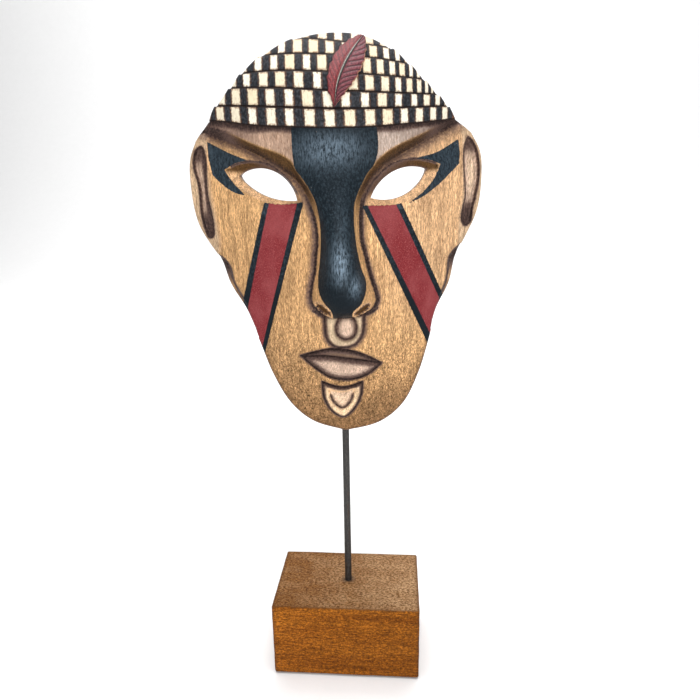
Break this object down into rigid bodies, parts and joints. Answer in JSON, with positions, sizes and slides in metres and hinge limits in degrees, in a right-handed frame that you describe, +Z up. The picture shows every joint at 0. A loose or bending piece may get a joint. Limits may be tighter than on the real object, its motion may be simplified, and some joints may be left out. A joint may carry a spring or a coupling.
{
  "type": "carved wooden mask on a rod stand",
  "caption": "Hand-carved, painted wooden face mask with a tiled cap and feather, held on an iron rod in a wooden block.",
  "frame": {"origin": "on the rod's axis, at the underside of the felt sheet, where the stand meets the shelf", "axes": "+Z up along the rod, +X to the viewer's right along the block's long side, -Y towards the viewer, the way the mask looks"},
  "size_m": [0.1793, 0.0789, 0.4119],
  "materials": {
    "carved_wood": "satin oiled, with painted and burnt detail",
    "painted_feather": "matte paint on wood",
    "rod_iron": "blackened",
    "block_wood": "stained, satin",
    "felt": "matte"
  },
  "bodies": {
    "base": {"base_block": "block_wood", "felt_sheet": "felt"},
    "rod": {"support_rod": "rod_iron"},
    "mask": {"mask_face": "carved_wood", "feather": "painted_feather"}
  },
  "joints": [
    {"name": "rod_turn", "type": "hinge", "parent": "base", "child": "rod", "pos_m": [0, 0, 0.055], "axis": [0, 0, 1], "continuous": true},
    {"name": "mask_lift", "type": "slide", "parent": "rod", "child": "mask", "axis": [0, 0, 1], "range_m": [0, 0.05]}
  ]
}
